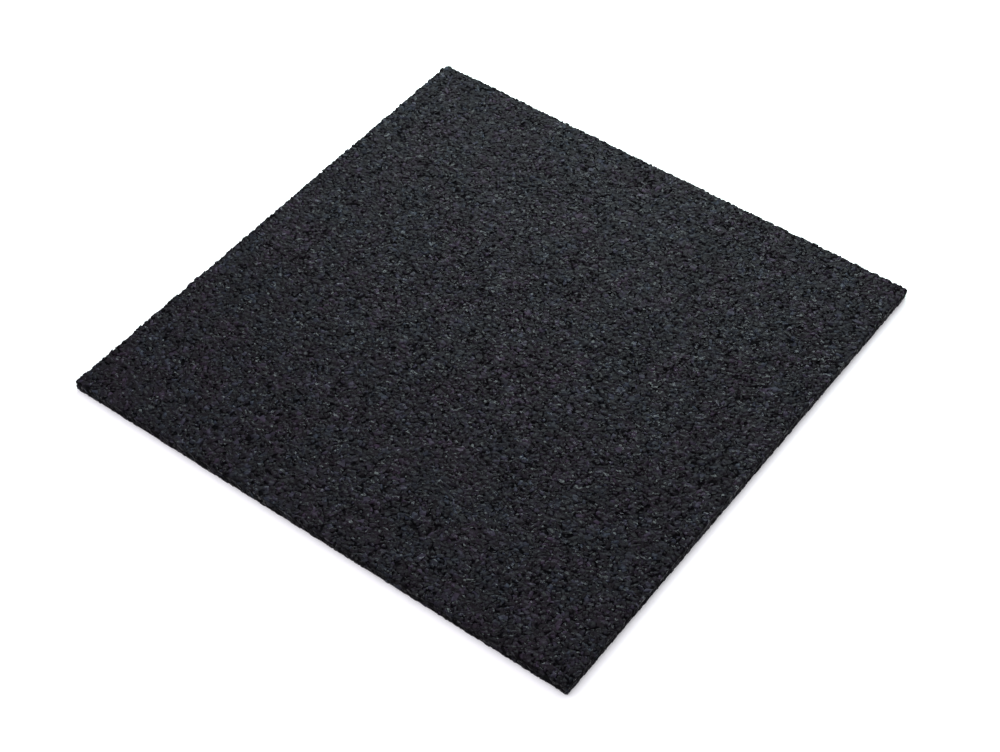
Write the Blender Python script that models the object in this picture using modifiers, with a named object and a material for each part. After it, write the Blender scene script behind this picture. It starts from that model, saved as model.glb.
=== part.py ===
"""Anti-vibration pad: one square slab of rubber granulate, pressed and bonded.

The real pad is cut from a larger sheet of pressed granulate, so it is a single
piece: two flat faces and four plain cut sides. The cut leaves the upright corners
barely rounded and the rims a little soft.

The slab lies flat. Its origin is at the middle of its underside, +Z is up, and
its sides run along X and Y.
"""

from math import radians

import bpy

# Driving dimensions, in metres
SIDE = 0.500
THICKNESS = 0.010
CORNER_RADIUS = 0.0015
RIM_RADIUS = 0.0005

# Flat steps that make up each rounding
CORNER_STEPS = 4
RIM_STEPS = 2

# Faces that meet at more than this angle meet at a rim
RIM_ANGLE = radians(45)

# Carbon-black rubber, matt
RUBBER_COLOUR = (0.020, 0.021, 0.024, 1.0)
RUBBER_ROUGHNESS = 0.75


def clear_scene():
    """Remove every object that the file opened with."""
    for item in list(bpy.data.objects):
        bpy.data.objects.remove(item, do_unlink=True)


def make_collection(name):
    """Add a collection to the scene, for the object's parts."""
    collection = bpy.data.collections.new(name)
    bpy.context.scene.collection.children.link(collection)
    return collection


def bonded_rubber():
    """Near-black matt rubber, the same all through."""
    material = bpy.data.materials.new("bonded_rubber")
    material.use_nodes = True
    shader = material.node_tree.nodes["Principled BSDF"]
    shader.inputs["Base Color"].default_value = RUBBER_COLOUR
    shader.inputs["Roughness"].default_value = RUBBER_ROUGHNESS
    shader.inputs["Metallic"].default_value = 0.0
    return material


def add_slab(name, collection):
    """The square-cut slab, standing on the plane z = 0."""
    bpy.ops.mesh.primitive_cube_add(size=1.0)
    slab = bpy.context.active_object
    slab.name = name
    slab.data.name = name
    slab.scale = (SIDE, SIDE, THICKNESS)
    slab.location = (0.0, 0.0, THICKNESS / 2)
    bpy.ops.object.transform_apply(location=True, rotation=False, scale=True)
    for home in list(slab.users_collection):
        home.objects.unlink(slab)
    collection.objects.link(slab)
    return slab


def mark_upright_edges(slab):
    """Give the four upright edges a bevel weight of one, and the others none."""
    mesh = slab.data
    weights = mesh.attributes.new("bevel_weight_edge", "FLOAT", "EDGE")
    for edge in mesh.edges:
        start, end = (mesh.vertices[index].co for index in edge.vertices)
        upright = abs(start.z - end.z) > THICKNESS / 2
        weights.data[edge.index].value = 1.0 if upright else 0.0


def round_corners(slab):
    """Round the four upright corners."""
    mark_upright_edges(slab)
    bevel = slab.modifiers.new("corner_rounding", "BEVEL")
    bevel.limit_method = "WEIGHT"
    bevel.width = CORNER_RADIUS
    bevel.segments = CORNER_STEPS


def soften_rims(slab):
    """Soften the rims of the top face and of the underside."""
    bevel = slab.modifiers.new("rim_softening", "BEVEL")
    bevel.limit_method = "ANGLE"
    bevel.angle_limit = RIM_ANGLE
    bevel.width = RIM_RADIUS
    bevel.segments = RIM_STEPS


def main():
    clear_scene()
    pad_parts = make_collection("anti_vibration_pad")
    slab = add_slab("granulate_slab", pad_parts)
    round_corners(slab)
    soften_rims(slab)
    slab.data.materials.append(bonded_rubber())


main()
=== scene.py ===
# %% [markdown]
# This lesson dresses an anti-vibration pad: one thin, square slab of black rubber granulate.
# The real pad is made of crumbs of old rubber, coated with a binder, pressed into a sheet and cut
# to size. A box with a grainy texture would do from afar, but its rims would stay straight and its
# pits flat. So the crumbs are modelled, and only their fine skin is left to the material.
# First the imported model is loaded, which gives every size that follows.

from itertools import count
from math import pi, radians

import bmesh
import bpy
from mathutils import Matrix, Vector


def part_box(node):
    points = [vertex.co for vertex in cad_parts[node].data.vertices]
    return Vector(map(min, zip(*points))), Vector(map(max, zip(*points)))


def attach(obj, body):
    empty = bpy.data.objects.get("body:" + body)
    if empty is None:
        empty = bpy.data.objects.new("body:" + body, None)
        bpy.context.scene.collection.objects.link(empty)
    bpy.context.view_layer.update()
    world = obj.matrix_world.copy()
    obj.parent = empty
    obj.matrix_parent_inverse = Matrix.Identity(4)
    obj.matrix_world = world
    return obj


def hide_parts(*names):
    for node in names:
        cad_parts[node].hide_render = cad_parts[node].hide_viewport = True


MM = 0.001

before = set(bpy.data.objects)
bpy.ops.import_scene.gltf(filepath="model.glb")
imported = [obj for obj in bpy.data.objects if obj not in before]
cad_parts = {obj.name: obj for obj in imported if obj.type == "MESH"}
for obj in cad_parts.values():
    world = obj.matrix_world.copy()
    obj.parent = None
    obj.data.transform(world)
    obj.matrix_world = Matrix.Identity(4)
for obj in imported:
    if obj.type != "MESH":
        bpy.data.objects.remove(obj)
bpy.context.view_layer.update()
low, high = (Vector(corner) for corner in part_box("granulate_slab"))
side = high.x - low.x
thickness = high.z - low.z
print(f"Pad {side / MM:.0f} mm square, {thickness / MM:.0f} mm thick")

# %% [markdown]
# The camera stands where the photographer stood. A pinhole camera was fitted to the corners of the
# pad: it looks down at 49 degrees onto one corner through a lens of 73 mm, slightly tilted. The
# place of the pad in the view is given in pad sides, so it holds at any size.

# %% Camera
LENS_MM = 73.2
AZIMUTH = radians(37.42)
ELEVATION = radians(48.62)
ROLL = radians(-0.73)
PAD_IN_VIEW = Vector((-0.0018, 0.0578, -3.43))

camera_data = bpy.data.cameras.new("camera")
camera_data.lens = LENS_MM
camera = bpy.data.objects.new("camera", camera_data)
bpy.context.scene.collection.objects.link(camera)
turn = (
    Matrix.Rotation(AZIMUTH, 3, "Z")
    @ Matrix.Rotation(pi / 2 - ELEVATION, 3, "X")
    @ Matrix.Rotation(ROLL, 3, "Z")
)
camera.matrix_world = Matrix.Translation(turn @ PAD_IN_VIEW * -side) @ turn.to_4x4()
bpy.context.scene.camera = camera
print(f"Camera {camera.location.length:.2f} m from the pad")

# %% [markdown]
# The pad lies on a white floor, where a soft shadow shows along its near sides. One large plane does
# for that. It lies a hair below the pad, so that the two never share a plane. It isn't part of the
# pad. Its white is a little green, which cancels the lilac of the light that follows.

# %% Floor
FLOOR_SIZE = 12.0
FLOOR_DROP = 0.05 * MM
FLOOR_WHITE = (0.868, 0.97, 0.868, 1.0)
FLOOR_ROUGHNESS = 0.9

bpy.ops.object.select_all(action="DESELECT")
bpy.ops.mesh.primitive_plane_add(size=FLOOR_SIZE, location=(0, 0, low.z - FLOOR_DROP))
floor = bpy.context.active_object
floor.name = "floor"
paper = bpy.data.materials.new("white_paper")
paper.use_nodes = True
paper_shader = paper.node_tree.nodes["Principled BSDF"]
paper_shader.inputs["Base Color"].default_value = FLOOR_WHITE
paper_shader.inputs["Roughness"].default_value = FLOOR_ROUGHNESS
floor.data.materials.append(paper)
print(f"Floor {FLOOR_SIZE:.0f} m wide")

# %% [markdown]
# Black rubber shows hardly any colour of its own, so most of what is seen is light that glances off
# it. A pale room, a little lilac, gives the even part of that light. Where the camera looks past
# the floor, straight at the room, it sees plain white, as it would in a studio. The Standard view
# keeps the floor a clean white, which Blender's own choice of view would turn grey.

# %% Room
ROOM_COLOUR = (1.04, 0.93, 1.07, 1.0)
ROOM_STRENGTH = 0.75
BACKDROP_WHITE = (1.0, 1.0, 1.0, 1.0)

bpy.context.scene.view_settings.view_transform = "Standard"
room = bpy.data.worlds.new("studio")
room.use_nodes = True
room_nodes = room.node_tree.nodes
room_links = room.node_tree.links
walls = room_nodes["Background"]
walls.inputs["Color"].default_value = ROOM_COLOUR
walls.inputs["Strength"].default_value = ROOM_STRENGTH
backdrop = room_nodes.new("ShaderNodeBackground")
backdrop.inputs["Color"].default_value = BACKDROP_WHITE
light_path = room_nodes.new("ShaderNodeLightPath")
either = room_nodes.new("ShaderNodeMixShader")
room_links.new(light_path.outputs["Is Camera Ray"], either.inputs[0])
room_links.new(walls.outputs[0], either.inputs[1])
room_links.new(backdrop.outputs[0], either.inputs[2])
room_links.new(either.outputs[0], room_nodes["World Output"].inputs["Surface"])
bpy.context.scene.world = room
print(f"Room at strength {ROOM_STRENGTH}")

# %% [markdown]
# Two soft lamps do the rest, as in a small studio. A wide one hangs low behind the far corner. It
# brightens the far half, which mirrors it towards the camera, and it pushes a narrow shadow out of
# the near sides. Its light is a little cyan, so the far half looks cooler than the near one. A
# square one hangs over the pad, for the crumb faces that lean towards the camera. Lit by the room
# alone, they would mirror much less light than the faces that lean away.

# %% Lamps
BACK_PLACE = Vector((-0.3, 0.7, 0.45))
BACK_WIDTH = 1.1
BACK_HEIGHT = 0.3
BACK_WATTS = 11.2
BACK_COLOUR = (0.83, 1.0, 1.0)
OVERHEAD_PLACE = Vector((-0.22, -0.17, 1.35))
OVERHEAD_WIDTH = 2.0
OVERHEAD_WATTS = 18.5
OVERHEAD_COLOUR = (1.06, 0.92, 1.12)


def hang_lamp(name, place, width, height, watts, colour):
    """Hang a soft rectangular lamp that faces the pad."""
    softbox = bpy.data.lights.new(name, "AREA")
    softbox.shape = "RECTANGLE"
    softbox.size = width
    softbox.size_y = height
    softbox.energy = watts
    softbox.color = colour
    lamp = bpy.data.objects.new(name, softbox)
    lamp.location = place
    lamp.rotation_euler = (-place).to_track_quat("-Z", "Y").to_euler()
    lamp.visible_camera = False
    bpy.context.scene.collection.objects.link(lamp)
    print(f"{name}: {place.length:.2f} m from the pad")


hang_lamp("back_lamp", BACK_PLACE, BACK_WIDTH, BACK_HEIGHT, BACK_WATTS, BACK_COLOUR)
hang_lamp(
    "overhead_lamp",
    OVERHEAD_PLACE,
    OVERHEAD_WIDTH,
    OVERHEAD_WIDTH,
    OVERHEAD_WATTS,
    OVERHEAD_COLOUR,
)

# %% [markdown]
# Three small helpers serve every piece. An operator acts on whatever is selected, so each step
# starts by selecting one object and nothing else.

# %% Helpers


def select_only(item):
    """Make one object the only one that is selected, and the active one."""
    bpy.ops.object.select_all(action="DESELECT")
    item.select_set(True)
    bpy.context.view_layer.objects.active = item


def put_in(collection, item):
    """Move an object from the collections that hold it to this one."""
    for home in list(item.users_collection):
        home.objects.unlink(item)
    collection.objects.link(item)


def new_primitive(name, add, **sizes):
    """Add a primitive with nothing else selected, and name it."""
    bpy.ops.object.select_all(action="DESELECT")
    add(**sizes)
    item = bpy.context.active_object
    item.name = name
    item.data.name = name
    return item


# %% [markdown]
# Crumbs are torn and cut rubber: blocks with corners off, wedges, flakes and splinters. Each starts
# as a cube or a prism about one unit across. Its upper edges are bevelled, as if worn, its corners
# are knocked about at random, and a hull closes it again. Some are shaded smooth, as softer lumps,
# and the others keep their torn facets. Few faces are allowed, because tens of thousands are coming.

# %% Tools for shaping a crumb
BLOCK_SIZE = 0.9
BLOCK_WEAR = 0.2
PRISM_RADIUS = 0.58
PRISM_DEPTH = 0.8
PRISM_WEAR = 0.16
FACING_UP = 0.9
KNOCK = 0.1
KNOCK_EVENNESS = 0.5

crumb_shapes = bpy.data.collections.new("crumb_shapes")


def wear_upper_edges(width):
    """Bevel the edges round the top of the shape that is being edited."""
    shape = bmesh.from_edit_mesh(bpy.context.edit_object.data)
    for face in shape.faces:
        face.select_set(face.normal.z > FACING_UP)
    shape.select_flush(True)
    bpy.ops.mesh.bevel(offset=width, segments=1, affect="EDGES")


def finish_crumb(item, proportions, seed, soft):
    """Knock the corners about, close the shape with triangles, stretch it and store it."""
    bpy.ops.mesh.select_all(action="SELECT")
    bpy.ops.transform.vertex_random(offset=KNOCK, uniform=KNOCK_EVENNESS, seed=seed)
    bpy.ops.mesh.convex_hull()
    bpy.ops.mesh.select_all(action="SELECT")
    bpy.ops.mesh.quads_convert_to_tris()
    bpy.ops.mesh.normals_make_consistent(inside=False)
    bpy.ops.object.mode_set(mode="OBJECT")
    item.scale = proportions
    bpy.ops.object.transform_apply(location=False, rotation=False, scale=True)
    if soft:
        bpy.ops.object.shade_smooth()
    put_in(crumb_shapes, item)
    print(f"{item.name}: {len(item.data.polygons)} triangles")


def block_crumb(name, seed, proportions, soft=False):
    """A crumb that was a cube."""
    item = new_primitive(name, bpy.ops.mesh.primitive_cube_add, size=BLOCK_SIZE)
    bpy.ops.object.mode_set(mode="EDIT")
    wear_upper_edges(BLOCK_WEAR)
    finish_crumb(item, proportions, seed, soft)


def prism_crumb(name, seed, corners, proportions, soft=False):
    """A crumb that was a prism, with as many corners as asked."""
    item = new_primitive(
        name,
        bpy.ops.mesh.primitive_cylinder_add,
        vertices=corners,
        radius=PRISM_RADIUS,
        depth=PRISM_DEPTH,
    )
    bpy.ops.object.mode_set(mode="EDIT")
    wear_upper_edges(PRISM_WEAR)
    finish_crumb(item, proportions, seed, soft)


# %% [markdown]
# Eight shapes are enough, since every copy is turned and sized at random. Four are blocks, two of
# them long, and four are chips with three or five corners.

# %% The eight crumbs
block_crumb("crumb_block_a", seed=1, proportions=(1.15, 0.8, 0.8))
block_crumb("crumb_block_b", seed=2, proportions=(1.0, 0.75, 0.8), soft=True)
block_crumb("crumb_long_a", seed=8, proportions=(1.45, 0.65, 0.7))
block_crumb("crumb_long_b", seed=9, proportions=(1.35, 0.6, 0.7), soft=True)
prism_crumb("crumb_wedge_a", seed=3, corners=3, proportions=(1.4, 0.9, 0.8))
prism_crumb("crumb_wedge_b", seed=4, corners=3, proportions=(1.0, 1.25, 0.7), soft=True)
prism_crumb("crumb_flake_a", seed=5, corners=5, proportions=(1.3, 0.8, 0.6))
prism_crumb("crumb_flake_b", seed=6, corners=5, proportions=(0.85, 1.3, 0.7), soft=True)

# %% [markdown]
# The inside of the pad is solid granulate, and only the bottoms of the pits between the crumbs show
# it. It is a slab a little smaller than the pad on every side, and it carries the crumbs. The two
# near sides were cut clean, so their pits are shallow. The two far sides were torn more, so the slab
# stands further back there. The upright corners are rounded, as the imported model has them.

# %% Inner slab
TOP_SKIN = 1.1 * MM
NEAR_SKIN = 0.4 * MM
FAR_SKIN = 1.2 * MM
UNDERSIDE_SKIN = 0.7 * MM
CORNER_RADIUS = 1.1 * MM
CORNER_STEPS = 4

inner_low = low + Vector((FAR_SKIN, NEAR_SKIN, UNDERSIDE_SKIN))
inner_high = high - Vector((NEAR_SKIN, FAR_SKIN, TOP_SKIN))
inner = new_primitive(
    "pad_body",
    bpy.ops.mesh.primitive_cube_add,
    size=1.0,
    location=(inner_low + inner_high) / 2,
    scale=inner_high - inner_low,
)
bpy.ops.object.transform_apply(location=True, rotation=False, scale=True)
bpy.ops.object.mode_set(mode="EDIT")
bpy.ops.mesh.select_mode(type="EDGE")
slab_mesh = bmesh.from_edit_mesh(inner.data)
for edge in slab_mesh.edges:
    bottom, top = (corner.co.z for corner in edge.verts)
    edge.select_set(abs(top - bottom) > thickness / 2)
bpy.ops.mesh.bevel(offset=CORNER_RADIUS, segments=CORNER_STEPS, affect="EDGES")
bpy.ops.object.mode_set(mode="OBJECT")
width, depth, height = (length / MM for length in inner.dimensions)
print(f"{inner.name}: {width:.1f} by {depth:.1f} mm, {height:.1f} mm thick")

# %% [markdown]
# Geometry Nodes strews the crumbs, because they can't be placed by hand in such numbers. A node tree
# is wired in code, and these helpers keep that readable: each adds one node, fills in its inputs
# with values or links, and hands back what comes out.

# %% Helpers for nodes


def node(tree, kind, inputs, **options):
    """Add a node, set its options, and give each input a value or a link."""
    made = tree.nodes.new(kind)
    for option, value in options.items():
        setattr(made, option, value)
    for name, given in inputs.items():
        if isinstance(given, bpy.types.NodeSocket):
            tree.links.new(given, made.inputs[name])
        else:
            made.inputs[name].default_value = given
    return made


def number(tree, operation, *inputs):
    """The result of a Math node."""
    return node(tree, "ShaderNodeMath", dict(enumerate(inputs)), operation=operation).outputs[0]


def vector(tree, operation, *inputs):
    """The vector that a Vector Math node gives."""
    return node(tree, "ShaderNodeVectorMath", dict(enumerate(inputs)), operation=operation).outputs[0]


def scaled(tree, direction, length):
    """A vector times a number."""
    made = node(tree, "ShaderNodeVectorMath", {0: direction, "Scale": length}, operation="SCALE")
    return made.outputs[0]


def along(tree, direction, axis):
    """How far a vector reaches along an axis."""
    made = node(tree, "ShaderNodeVectorMath", {0: direction, 1: axis}, operation="DOT_PRODUCT")
    return made.outputs["Value"]


def between(tree, value, limits):
    """One where a number lies between two limits, and nought elsewhere."""
    above = number(tree, "GREATER_THAN", value, limits[0])
    below = number(tree, "LESS_THAN", value, limits[1])
    return number(tree, "MULTIPLY", above, below)


# %% [markdown]
# Each crumb differs from its neighbours, so the recipe draws random numbers for every point. What a
# crumb must remember, such as its grey, is written on its point under a name. The copies that are
# made on the points carry the same names, and the rubber's material reads two of them later.

# %% Helpers for chance and memory


def random_number(tree, limits, seed):
    """A number for each point, between two limits."""
    inputs = {2: limits[0], 3: limits[1], "Seed": seed}
    return node(tree, "FunctionNodeRandomValue", inputs, data_type="FLOAT").outputs[1]


def random_vector(tree, least, most, seed):
    """A vector for each point, between two limits."""
    inputs = {0: least, 1: most, "Seed": seed}
    return node(tree, "FunctionNodeRandomValue", inputs, data_type="FLOAT_VECTOR").outputs[0]


def keep(tree, geometry, name, value, kind="FLOAT"):
    """Write a value on each point, under a name."""
    inputs = {"Geometry": geometry, "Name": name, "Value": value}
    made = node(tree, "GeometryNodeStoreNamedAttribute", inputs, data_type=kind, domain="POINT")
    return made.outputs["Geometry"]


def kept(tree, name, kind="FLOAT"):
    """Read a value that was written under a name."""
    return node(tree, "GeometryNodeInputNamedAttribute", {"Name": name}, data_type=kind).outputs[0]


def position(tree):
    """Where each point is."""
    return node(tree, "GeometryNodeInputPosition", {}).outputs[0]


# %% [markdown]
# The first step spreads the points. They lie on those faces of the inner slab that look up by a
# chosen amount, which picks the top, the cut sides or the underside. No two are closer than the
# spacing, so the crumbs crowd together without piling up.

# %% Step one: points
CROWDING = 0.9


def spread_points(tree, slab, facing, spacing, seed):
    """Points over the faces whose normal's height is in the range given."""
    normal = node(tree, "GeometryNodeInputNormal", {}).outputs[0]
    chosen = between(tree, along(tree, normal, (0, 0, 1)), facing)
    inputs = {
        "Mesh": slab,
        "Selection": chosen,
        "Distance Min": spacing,
        "Density Max": CROWDING / spacing**2,
        "Seed": seed,
    }
    return node(tree, "GeometryNodeDistributePointsOnFaces", inputs, distribute_method="POISSON")


# %% [markdown]
# The second step draws what each crumb will be like: its size, its grey, its gloss, how deep and how
# slanted the press leaves it, and how far inside the knife's cut it ends. One draw gives the size
# and also says later which piece the crumb belongs to. Small crumbs are commoner than large ones.

# %% Step two: the draws
FINENESS = 2.6


def mark_points(tree, spread, sizes, press, lean, seeds):
    """Write on each point what its crumb will be like."""
    draw = random_number(tree, (0.0, 1.0), next(seeds))
    fraction = number(tree, "POWER", draw, FINENESS)
    numbers = {
        "draw": draw,
        "size": number(tree, "MULTIPLY_ADD", fraction, sizes[1] - sizes[0], sizes[0]),
        "tone": random_number(tree, (0.0, 1.0), next(seeds)),
        "gloss": random_number(tree, (0.0, 1.0), next(seeds)),
        "depth": random_number(tree, press, next(seeds)),
        "cut": random_number(tree, (0.0, 1.0), next(seeds)),
    }
    points = spread.outputs["Points"]
    for name, value in numbers.items():
        points = keep(tree, points, name, value)
    points = keep(tree, points, "outward", spread.outputs["Normal"], "FLOAT_VECTOR")
    points = keep(tree, points, "standing", spread.outputs["Rotation"], "QUATERNION")
    slant = random_vector(tree, (-lean,) * 3, (lean,) * 3, next(seeds))
    return keep(tree, points, "slant", slant, "FLOAT_VECTOR")


# %% [markdown]
# The third step seats the points. Most crumbs sit right on the inner slab, and a few sink slightly
# into it, so that their bottoms don't line up. The seat is written down too, because the press needs
# it later.

# %% Step three: the seats
FEW_SINK = 4.0


def seat_points(tree, points, sink, seeds):
    """Sink the points, few of them by much, and write down where they are."""
    depth = number(tree, "POWER", random_number(tree, (0.0, 1.0), next(seeds)), FEW_SINK)
    sunk = number(tree, "MULTIPLY", depth, -sink)
    inward = scaled(tree, kept(tree, "outward", "FLOAT_VECTOR"), sunk)
    seated = node(tree, "GeometryNodeSetPosition", {"Geometry": points, "Offset": inward})
    return keep(tree, seated.outputs[0], "seat", position(tree), "FLOAT_VECTOR")


# %% [markdown]
# The fourth step puts a crumb on each point, turned any way round and tumbled a little, and makes
# the copies real mesh. Here and there a crumb has broken out of the face, so a few are missing.

# %% Step four: the crumbs
TUMBLE = radians(35)
MISSING = 0.007
LEAST_STRETCH = (0.8, 0.8, 0.8)
MOST_STRETCH = (1.2, 1.2, 1.2)


def place_crumbs(tree, points, share, seeds):
    """A real crumb on each point whose draw falls in this share."""
    tumble = random_vector(tree, (-TUMBLE, -TUMBLE, 0), (TUMBLE, TUMBLE, 2 * pi), next(seeds))
    turned = node(
        tree,
        "FunctionNodeRotateRotation",
        {"Rotation": kept(tree, "standing", "QUATERNION"), "Rotate By": tumble},
        rotation_space="LOCAL",
    ).outputs[0]
    stretch = random_vector(tree, LEAST_STRETCH, MOST_STRETCH, next(seeds))
    present = between(tree, random_number(tree, (0.0, 1.0), next(seeds)), (MISSING, 1.0))
    shapes = node(
        tree,
        "GeometryNodeCollectionInfo",
        {"Collection": crumb_shapes, "Separate Children": True, "Reset Children": True},
    ).outputs[0]
    inputs = {
        "Points": points,
        "Selection": number(tree, "MULTIPLY", present, between(tree, kept(tree, "draw"), share)),
        "Instance": shapes,
        "Pick Instance": True,
        "Rotation": turned,
        "Scale": scaled(tree, stretch, kept(tree, "size")),
    }
    copies = node(tree, "GeometryNodeInstanceOnPoints", inputs).outputs[0]
    return node(tree, "GeometryNodeRealizeInstances", {"Geometry": copies}).outputs[0]


# %% [markdown]
# The fifth step does what the press and the knife did. Whatever stands above a crumb's own slightly
# slanted plane is flattened onto it, just under the face of the pad. Then everything is trimmed to
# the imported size, as the knife did. At the near sides the crumbs end almost in line, and at the far
# sides some end more than a millimetre short, which roughens the rims.

# %% Step five: press and knife
CLEARANCE = 0.01 * MM
NEAR_PLAY = 0.15 * MM
FAR_PLAY = 1.4 * MM


def pressed_place(tree):
    """Where the press leaves each corner of the crumbs."""
    outward = kept(tree, "outward", "FLOAT_VECTOR")
    seat = kept(tree, "seat", "FLOAT_VECTOR")
    offset = vector(tree, "SUBTRACT", position(tree), seat)
    height = along(tree, offset, outward)
    across = vector(tree, "SUBTRACT", offset, scaled(tree, outward, height))

    pad_reach = (side / 2, side / 2, thickness / 2)
    face = along(tree, vector(tree, "ABSOLUTE", outward), pad_reach)
    seat_height = along(tree, vector(tree, "SUBTRACT", seat, (low + high) / 2), outward)
    headroom = number(tree, "SUBTRACT", face, seat_height)
    plane = number(tree, "SUBTRACT", headroom, kept(tree, "depth"))
    plane = number(tree, "ADD", plane, along(tree, across, kept(tree, "slant", "FLOAT_VECTOR")))
    plane = number(tree, "MINIMUM", plane, number(tree, "SUBTRACT", headroom, CLEARANCE))
    flattened = number(tree, "MINIMUM", height, plane)
    return vector(tree, "ADD", vector(tree, "ADD", seat, across), scaled(tree, outward, flattened))


def press_and_cut(tree, crumbs):
    """Flatten the crumbs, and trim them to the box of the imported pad."""
    cut = kept(tree, "cut")
    above = scaled(tree, (NEAR_PLAY, FAR_PLAY, CLEARANCE), cut)
    below = scaled(tree, (FAR_PLAY, NEAR_PLAY, CLEARANCE), cut)
    place = vector(tree, "MINIMUM", pressed_place(tree), vector(tree, "SUBTRACT", high, above))
    place = vector(tree, "MAXIMUM", place, vector(tree, "ADD", low, below))
    return node(tree, "GeometryNodeSetPosition", {"Geometry": crumbs, "Position": place}).outputs[0]


# %% [markdown]
# One function runs the five steps on a copy of the inner slab and applies the result, so that the
# finished piece is plain mesh. Every call with the same seed makes the same draws. So a face with
# too many crumbs for one piece is strewn several times, each piece keeping its own share of them.

# %% Strew one piece
WORKING_NAMES = ("draw", "size", "outward", "standing", "depth", "cut", "slant", "seat")


def strew(name, facing, spacing, sizes, sink, press, lean, seed, share):
    """Strew crumbs over some faces of the inner slab, as one new piece.

    facing is the range of the face normal's height, spacing the least distance between crumbs,
    sizes the smallest and the largest crumb, sink how deep a crumb may sit in the slab, press the
    depths under the pad's face at which crumbs are flattened, lean the steepest slant of a
    flattened face, and share the part of the draw that this piece keeps.
    """
    tree = bpy.data.node_groups.new(name, "GeometryNodeTree")
    tree.interface.new_socket("Geometry", in_out="INPUT", socket_type="NodeSocketGeometry")
    tree.interface.new_socket("Geometry", in_out="OUTPUT", socket_type="NodeSocketGeometry")
    slab = node(tree, "NodeGroupInput", {}).outputs[0]
    seeds = count(seed)
    spread = spread_points(tree, slab, facing, spacing, next(seeds))
    points = mark_points(tree, spread, sizes, press, lean, seeds)
    points = seat_points(tree, points, sink, seeds)
    crumbs = place_crumbs(tree, points, share, seeds)
    node(tree, "NodeGroupOutput", {"Geometry": press_and_cut(tree, crumbs)})

    piece = inner.copy()
    piece.data = inner.data.copy()
    piece.name = name
    piece.data.name = name
    bpy.context.scene.collection.objects.link(piece)
    crumb_layer = piece.modifiers.new("crumbs", "NODES")
    crumb_layer.node_group = tree
    select_only(piece)
    bpy.ops.object.modifier_apply(modifier=crumb_layer.name)
    for working_name in WORKING_NAMES:
        piece.data.attributes.remove(piece.data.attributes[working_name])
    print(f"{name}: {len(piece.data.polygons)} triangles")
    return piece


# %% [markdown]
# The top is what the eye sees, so its crumbs are the finest and are set closest. They slant enough
# to catch the light one by one. On the cut sides the crumbs are a little larger, and they slant
# more. The underside is strewn more coarsely, since it mostly lies hidden.

# %% Strew the crumbs
TOP = (0.5, 2.0)
SIDES = (-0.5, 0.5)
UNDERSIDE = (-2.0, -0.5)

fine_grain = dict(spacing=1.7 * MM, sizes=(3.6 * MM, 6.5 * MM), sink=0.1 * MM)
torn_grain = dict(spacing=2.2 * MM, sizes=(4.2 * MM, 7.6 * MM), sink=0.1 * MM)
coarse_grain = dict(spacing=3.0 * MM, sizes=(4.8 * MM, 7.0 * MM), sink=0.2 * MM)
top = dict(facing=TOP, press=(0.0, 0.5 * MM), lean=0.2, seed=100, **fine_grain)
sides = dict(facing=SIDES, press=(0.0, 0.4 * MM), lean=0.35, seed=200, **torn_grain)
underside = dict(facing=UNDERSIDE, press=(0.0, 0.5 * MM), lean=0.25, seed=300, **coarse_grain)
pieces = [
    strew("top_fine_crumbs", share=(0.0, 0.27), **top),
    strew("top_small_crumbs", share=(0.27, 0.53), **top),
    strew("top_middle_crumbs", share=(0.53, 0.78), **top),
    strew("top_coarse_crumbs", share=(0.78, 1.0), **top),
    strew("side_crumbs", share=(0.0, 1.0), **sides),
    strew("underside_fine_crumbs", share=(0.0, 0.5), **underside),
    strew("underside_coarse_crumbs", share=(0.5, 1.0), **underside),
]

# %% [markdown]
# The rubber is near-black, a little bluish, and no two crumbs are quite alike: most are very dark,
# some are greyer, and their gloss differs too. A pattern that ignored the crumbs would run across
# them, so the grey and the gloss are read from what each crumb remembers. A soft cloud over the
# whole pad, in patches of about two centimetres, tints it towards teal or towards plum.

# %% Colour of the rubber
CRUMB_GREYS = ((0.0, 0.0005), (0.3, 0.0013), (0.7, 0.0034), (0.9, 0.008), (1.0, 0.018))
RED_SHARE = 1.05
BLUE_SHARE = 1.43
CLOUD_SCALE = 45.0
CLOUD_DETAIL = 1.0
TEAL = (0.7, 1.05, 1.0)
TEAL_BELOW = 0.35
PLUM = (1.15, 0.84, 1.0)
PLUM_ABOVE = 0.65


def ramp(tree, factor, stops):
    """A Color Ramp through some colours."""
    made = node(tree, "ShaderNodeValToRGB", {"Fac": factor})
    elements = made.color_ramp.elements
    while len(elements) < len(stops):
        elements.new(0.5)
    for element, (place, colour) in zip(elements, stops):
        element.position = place
        element.color = (*colour, 1)
    return made.outputs[0]


def crumb_colour(tree, where):
    """Each crumb's own grey, tinted by the cloud."""
    tone = node(tree, "ShaderNodeAttribute", {}, attribute_name="tone").outputs["Fac"]
    greys = [(place, (grey * RED_SHARE, grey, grey * BLUE_SHARE)) for place, grey in CRUMB_GREYS]
    inputs = {"Vector": where, "Scale": CLOUD_SCALE, "Detail": CLOUD_DETAIL}
    cloud = node(tree, "ShaderNodeTexNoise", inputs).outputs["Fac"]
    tint = ramp(tree, cloud, ((TEAL_BELOW, TEAL), (PLUM_ABOVE, PLUM)))
    mixed = {"Factor": 1.0, "A": ramp(tree, tone, greys), "B": tint}
    return node(tree, "ShaderNodeMix", mixed, data_type="RGBA", blend_type="MULTIPLY").outputs[2]
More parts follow.
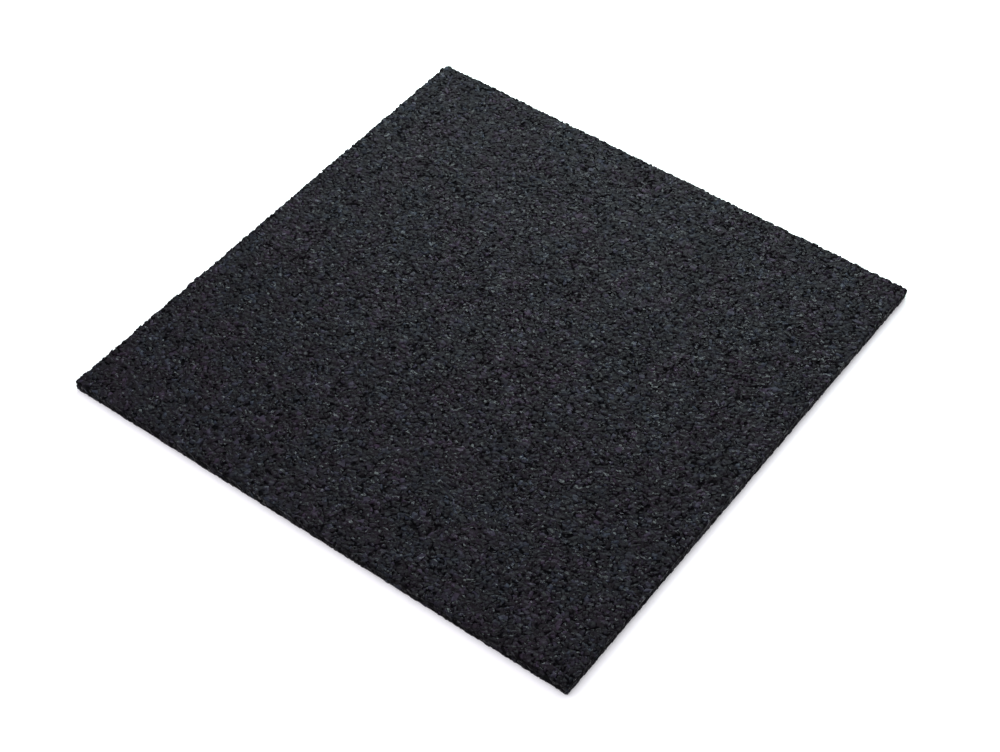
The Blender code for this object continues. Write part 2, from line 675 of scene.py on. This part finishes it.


# %% [markdown]
# The skin of a crumb is softly lumpy, with more shape than its few faces can show, so a bump does
# that. Rather more than half of the crumbs are equally dull, and the rest run from dull to shiny.
# The pressed faces shine most. The knife leaves the cut sides rougher. They also shine less, which is
# painted shade that darkens the sides. The bottoms of the pits take the darkest grey and hardly shine
# at all, which is painted shade in the pits.

# %% The three finishes
DULL_SHARE = 0.55
LUMP_SCALE = 300.0


def rubber(name, specular, dullest, glossiest, lump_depth):
    """Black rubber, with gloss that differs from crumb to crumb and a lumpy skin."""
    material = bpy.data.materials.new(name)
    material.use_nodes = True
    tree = material.node_tree
    shader = tree.nodes["Principled BSDF"]
    shader.inputs["Specular IOR Level"].default_value = specular
    where = node(tree, "ShaderNodeTexCoord", {}).outputs["Object"]
    tree.links.new(crumb_colour(tree, where), shader.inputs["Base Color"])

    gloss = node(tree, "ShaderNodeAttribute", {}, attribute_name="gloss").outputs["Fac"]
    inputs = {"Value": gloss, "From Min": DULL_SHARE, "To Min": dullest, "To Max": glossiest}
    tree.links.new(node(tree, "ShaderNodeMapRange", inputs).outputs[0], shader.inputs["Roughness"])

    inputs = {"Vector": where, "Scale": LUMP_SCALE, "Detail": 0.0}
    lumps = node(tree, "ShaderNodeTexNoise", inputs).outputs["Fac"]
    inputs = {"Height": lumps, "Strength": 1.0, "Distance": lump_depth}
    tree.links.new(node(tree, "ShaderNodeBump", inputs).outputs[0], shader.inputs["Normal"])
    print(f"{name}: roughness {glossiest} to {dullest}")
    return material


pressed_rubber = rubber(
    "bonded_rubber", specular=0.083, dullest=0.55, glossiest=0.1, lump_depth=1.35 * MM
)
# The cut sides are rougher, as the knife leaves them. Their lower specular is painted shade that
# darkens the sides.
cut_and_shaded_rubber = rubber(
    "cut_and_shaded_rubber", specular=0.06, dullest=0.65, glossiest=0.25, lump_depth=2.5 * MM
)
# The pad body has no grey written on it, so it takes the darkest grey. Together with its weak shine,
# that is painted shade at the bottoms of the pits.
pit_shade_rubber = rubber(
    "pit_shade_rubber", specular=0.045, dullest=0.9, glossiest=0.8, lump_depth=1.5 * MM
)

# %% [markdown]
# Each piece gets its finish and is tied to the imported model: it rides on the pad's one body, and
# stands where the plain slab was, which is hidden.

# %% Finish the pieces
for piece in pieces + [inner]:
    # The pad body and the side crumbs get the finishes that carry painted shade.
    finish = {"pad_body": pit_shade_rubber, "side_crumbs": cut_and_shaded_rubber}.get(piece.name, pressed_rubber)
    piece.data.materials.clear()
    piece.data.materials.append(finish)
    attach(piece, "root")
    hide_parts("granulate_slab")
    print(f"{piece.name}: {finish.name}")
